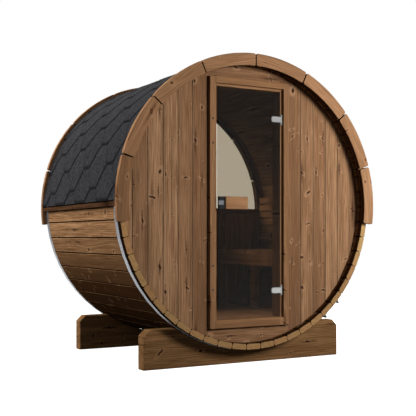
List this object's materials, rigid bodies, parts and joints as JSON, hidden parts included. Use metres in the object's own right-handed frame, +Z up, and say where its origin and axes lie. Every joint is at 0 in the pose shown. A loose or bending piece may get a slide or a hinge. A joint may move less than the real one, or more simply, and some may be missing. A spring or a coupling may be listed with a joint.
{
  "type": "barrel sauna",
  "caption": "Lying barrel of wooden staves on two cradles, with a hinged glass door, a half-moon rear window, side benches and a shingled roof; a small outdoor sauna.",
  "frame": {"origin": "on the ground under the middle of the barrel, between the cradles", "axes": "+Z up, the barrel's axis along Y, the door facing -Y, +X to the right of someone facing the door"},
  "size_m": [2.0656, 1.5146, 2.1279],
  "materials": {
    "cradle_wood": "sawn, oiled",
    "stave_wood": "planed heat-treated pine",
    "band_steel": "galvanised",
    "black_steel": "black, satin",
    "wall_wood": "planed heat-treated pine with knots",
    "frame_wood": "planed heat-treated pine",
    "bronze_glass": "bronze-tinted, polished",
    "hinge_metal": "satin silver",
    "handle_wood": "oiled",
    "inner_wood": "planed heat-treated wood",
    "shingle": "bitumen with mineral granules",
    "batten_wood": "sawn",
    "trim_wood": "planed heat-treated pine"
  },
  "bodies": {
    "building": {"cradle_front": "cradle_wood", "cradle_rear": "cradle_wood", "staves_top": "stave_wood", "staves_upper_right": "stave_wood", "staves_lower_right": "stave_wood", "staves_bottom": "stave_wood", "staves_lower_left": "stave_wood", "staves_upper_left": "stave_wood", "band_front": "band_steel", "band_rear": "band_steel", "band_tensioners": "black_steel", "front_wall_left": "wall_wood", "front_wall_right": "wall_wood", "front_wall_header": "wall_wood", "front_wall_sill_board": "wall_wood", "rear_wall": "wall_wood", "door_jamb_left": "frame_wood", "door_jamb_right": "frame_wood", "door_head": "frame_wood", "door_threshold": "frame_wood", "rear_window_sill": "frame_wood", "rear_window_arch": "frame_wood", "rear_window_glass": "bronze_glass", "door_hinge_plates": "hinge_metal", "floor_boards": "inner_wood", "floor_bearers": "inner_wood", "bench_right_seat": "inner_wood", "bench_right_front_board": "inner_wood", "bench_right_supports": "inner_wood", "backrest_right": "inner_wood", "bench_left_seat": "inner_wood", "bench_left_front_board": "inner_wood", "bench_left_supports": "inner_wood", "backrest_left": "inner_wood", "roof_covering": "shingle", "eave_batten_left": "batten_wood", "eave_batten_right": "batten_wood", "roof_trim_front": "trim_wood", "roof_trim_rear": "trim_wood"},
    "door": {"door_glass": "bronze_glass", "door_hinge_clamps": "hinge_metal", "door_handle": "handle_wood", "door_latch": "black_steel", "door_latch_bolt": "hinge_metal"}
  },
  "joints": [
    {"name": "door_swing", "type": "hinge", "parent": "building", "child": "door", "pos_m": [0.262, -0.673, 1.098], "axis": [0, 0, 1], "range_deg": [0, 100]}
  ]
}
